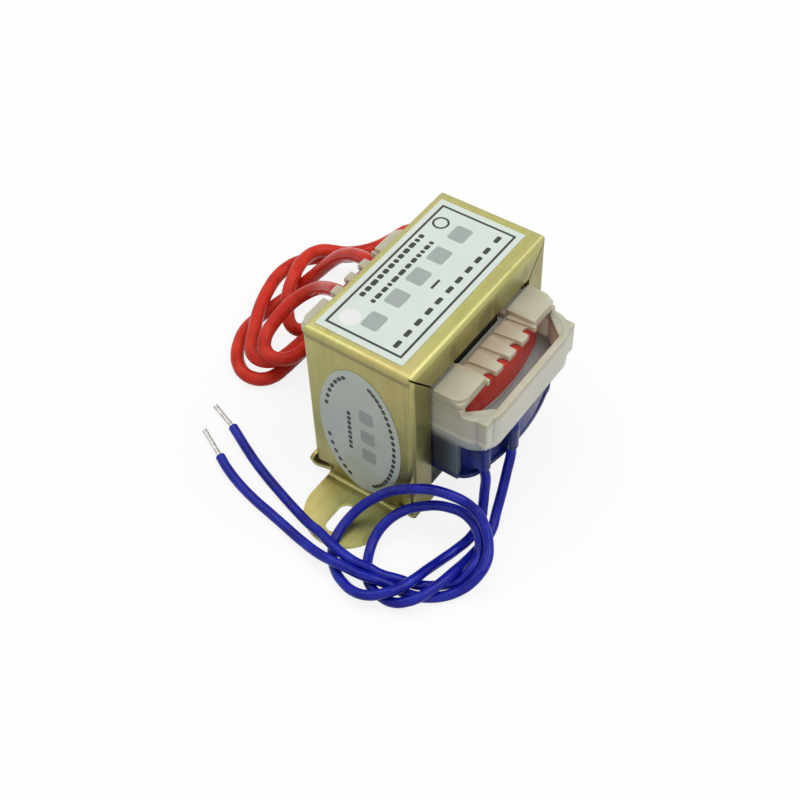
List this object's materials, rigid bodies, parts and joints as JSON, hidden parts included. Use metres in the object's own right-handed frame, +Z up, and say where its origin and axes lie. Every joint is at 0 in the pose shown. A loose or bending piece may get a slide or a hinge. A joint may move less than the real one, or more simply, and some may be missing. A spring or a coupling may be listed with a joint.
{
  "type": "laminated chassis transformer",
  "caption": "Small EI-laminated power transformer in a folded steel bracket with slotted feet, a split two-part bobbin with a shroud, thin blue leads and a hank of thick red leads.",
  "frame": {"origin": "midway between the two foot slots, on the mounting plane under the feet", "axes": "+X along the line of the two foot slots, +Y along the tongue of the core towards the side where the thick red leads leave, +Z up, away from the mounting plane"},
  "size_m": [0.0761, 0.0791, 0.0382],
  "materials": {
    "plated_steel": "thin olive-yellow zinc passivation over bright steel, slightly brushed",
    "core_steel": "varnished silicon steel sheets, near black",
    "nylon": "natural off-white nylon, slightly translucent",
    "copper": "enamelled copper wire with interlayers",
    "red_tape": "red polyester tape",
    "blue_tape": "deep blue polyester tape",
    "sleeve": "pale fibre sleeving",
    "label_film": "pale printed film",
    "sticker_film": "grey silvery sticker",
    "blue_insulation": "blue PVC insulation",
    "tinned_strands": "tinned stranded copper",
    "red_insulation": "red PVC insulation",
    "tie_wire": "pale twist tie"
  },
  "bodies": {
    "root": {"mounting_bracket": "plated_steel", "e_laminations": "core_steel", "i_laminations": "core_steel", "shroud_spool": "nylon", "primary_spool": "nylon", "primary_winding": "copper", "primary_tape": "red_tape", "secondary_winding": "copper", "secondary_tape": "blue_tape", "primary_joint_sleeves": "sleeve", "secondary_joint_sleeves": "sleeve", "secondary_joint_cover": "blue_tape", "rating_label": "label_film", "side_sticker": "sticker_film", "blue_lead_a": "blue_insulation", "blue_lead_b": "blue_insulation", "blue_lead_a_tinned_end": "tinned_strands", "blue_lead_b_tinned_end": "tinned_strands", "red_lead_a": "red_insulation", "red_lead_b": "red_insulation", "red_lead_hank": "red_insulation", "hank_tie": "tie_wire"}
  },
  "joints": []
}
